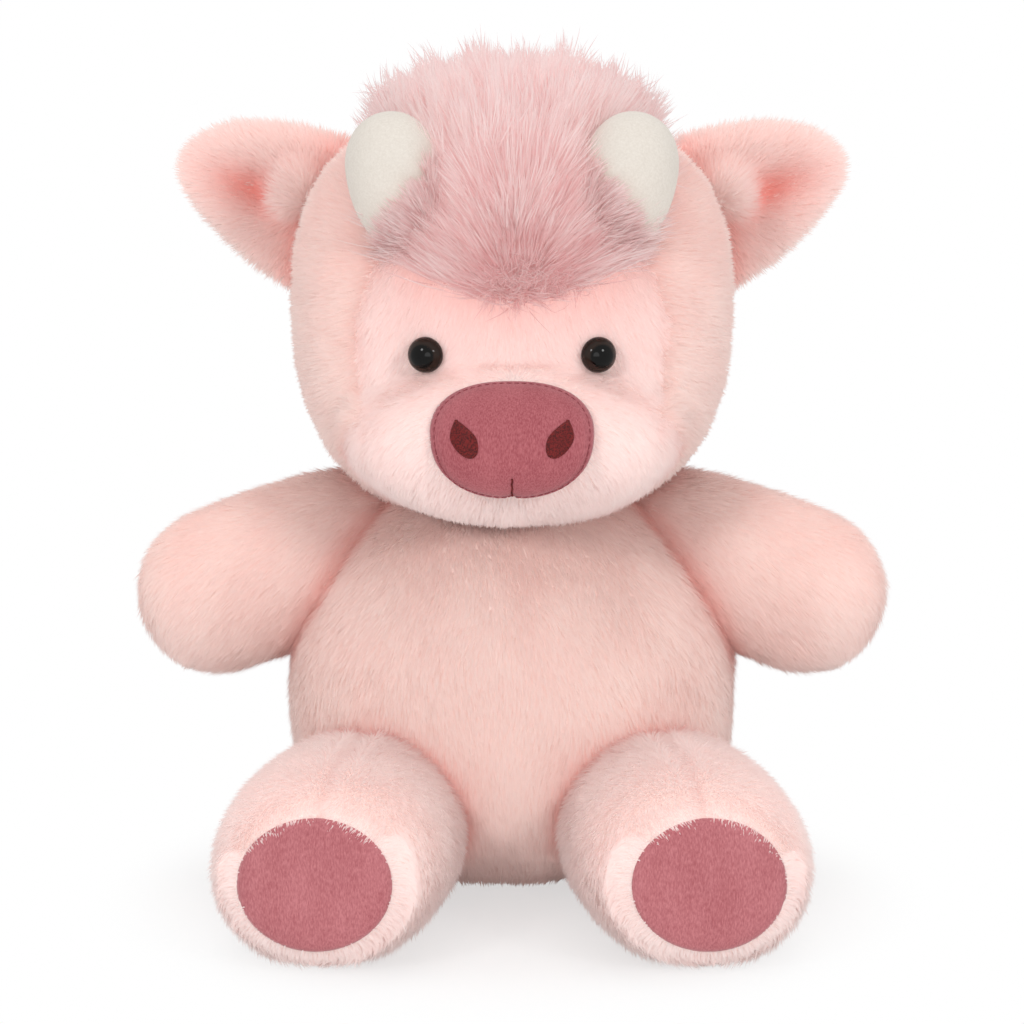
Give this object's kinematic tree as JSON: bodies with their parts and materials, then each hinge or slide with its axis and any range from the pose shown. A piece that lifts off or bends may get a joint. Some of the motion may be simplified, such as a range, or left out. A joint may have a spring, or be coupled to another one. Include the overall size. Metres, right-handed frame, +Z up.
{
  "type": "plush highland cow",
  "caption": "Seated stuffed cow in pale pink pile fabric, with a rose forelock, short horns, suede nose and soles, and sewn limbs that flex.",
  "frame": {"origin": "middle of the flat seat, on the surface the toy sits on", "axes": "+Z up, -Y the way the toy faces, +X to the toy's own left"},
  "size_m": [0.27, 0.2744, 0.295],
  "materials": {
    "pink_pile": "matte",
    "pale_pile": "matte",
    "rose_hair": "matte",
    "ear_lining": "matte",
    "ivory_velboa": "matte",
    "rose_suede": "matte",
    "maroon_thread": "satin",
    "eye_plastic": "gloss",
    "washer_plastic": "satin",
    "stuffing": "matte",
    "bean_cloth": "matte"
  },
  "bodies": {
    "torso": {"body_front_panel": "pink_pile", "body_back_left_panel": "pink_pile", "body_back_right_panel": "pink_pile", "seat_panel": "pink_pile", "body_stuffing": "stuffing", "bean_bag": "bean_cloth"},
    "head": {"face_panel": "pale_pile", "muzzle_panel": "pale_pile", "head_back_panel": "pink_pile", "head_left_panel": "pink_pile", "head_right_panel": "pink_pile", "head_stuffing": "stuffing", "nose_pad": "rose_suede", "mouth_stitch": "maroon_thread", "nostril_left": "maroon_thread", "nostril_right": "maroon_thread", "eye_left": "eye_plastic", "eye_right": "eye_plastic", "eye_washer_left": "washer_plastic", "eye_washer_right": "washer_plastic", "forelock": "rose_hair", "horn_left": "ivory_velboa", "horn_right": "ivory_velboa", "horn_left_stuffing": "stuffing", "horn_right_stuffing": "stuffing"},
    "ear_left": {"ear_left_lining": "ear_lining", "ear_left_back": "pink_pile"},
    "ear_right": {"ear_right_lining": "ear_lining", "ear_right_back": "pink_pile"},
    "arm_left": {"arm_left_front_panel": "pink_pile", "arm_left_back_panel": "pink_pile", "arm_left_stuffing": "stuffing"},
    "arm_right": {"arm_right_front_panel": "pink_pile", "arm_right_back_panel": "pink_pile", "arm_right_stuffing": "stuffing"},
    "leg_left": {"leg_left_tube": "pink_pile", "leg_left_stuffing": "stuffing", "foot_pad_left": "rose_suede"},
    "leg_right": {"leg_right_tube": "pink_pile", "leg_right_stuffing": "stuffing", "foot_pad_right": "rose_suede"},
    "tail": {"tail_tube": "pink_pile", "tail_tuft": "rose_hair"}
  },
  "joints": [
    {"name": "head_turn", "type": "hinge", "parent": "torso", "child": "head", "pos_m": [0, 0, 0.127], "axis": [0, 0, 1], "range_deg": [-20, 20], "stiffness_Nm_per_rad": 0.6},
    {"name": "ear_left_fold", "type": "hinge", "parent": "head", "child": "ear_left", "pos_m": [0.06722, 0.006, 0.23588], "axis": [0.3746, 0, -0.9272], "range_deg": [-15, 25], "stiffness_Nm_per_rad": 0.06},
    {"name": "ear_right_fold", "type": "hinge", "parent": "head", "child": "ear_right", "pos_m": [-0.06722, 0.006, 0.23588], "axis": [0.3746, 0, 0.9272], "range_deg": [-15, 25], "stiffness_Nm_per_rad": 0.06},
    {"name": "arm_left_lift", "type": "hinge", "parent": "torso", "child": "arm_left", "pos_m": [0.04501, 0.002, 0.139], "axis": [0, -1, 0], "range_deg": [0, 35], "stiffness_Nm_per_rad": 0.4},
    {"name": "arm_right_lift", "type": "hinge", "parent": "torso", "child": "arm_right", "pos_m": [-0.04501, 0.002, 0.139], "axis": [0, 1, 0], "range_deg": [0, 35], "stiffness_Nm_per_rad": 0.4},
    {"name": "leg_left_lift", "type": "hinge", "parent": "torso", "child": "leg_left", "pos_m": [0.052, -0.06211, 0.066], "axis": [-0.9903, -0.1392, 0], "range_deg": [0, 25], "stiffness_Nm_per_rad": 0.6},
    {"name": "leg_right_lift", "type": "hinge", "parent": "torso", "child": "leg_right", "pos_m": [-0.052, -0.06211, 0.066], "axis": [-0.9903, 0.1392, 0], "range_deg": [0, 25], "stiffness_Nm_per_rad": 0.6},
    {"name": "tail_wag", "type": "hinge", "parent": "torso", "child": "tail", "pos_m": [0, 0.08186, 0.056], "axis": [0, 0, 1], "range_deg": [-25, 25], "stiffness_Nm_per_rad": 0.05}
  ]
}
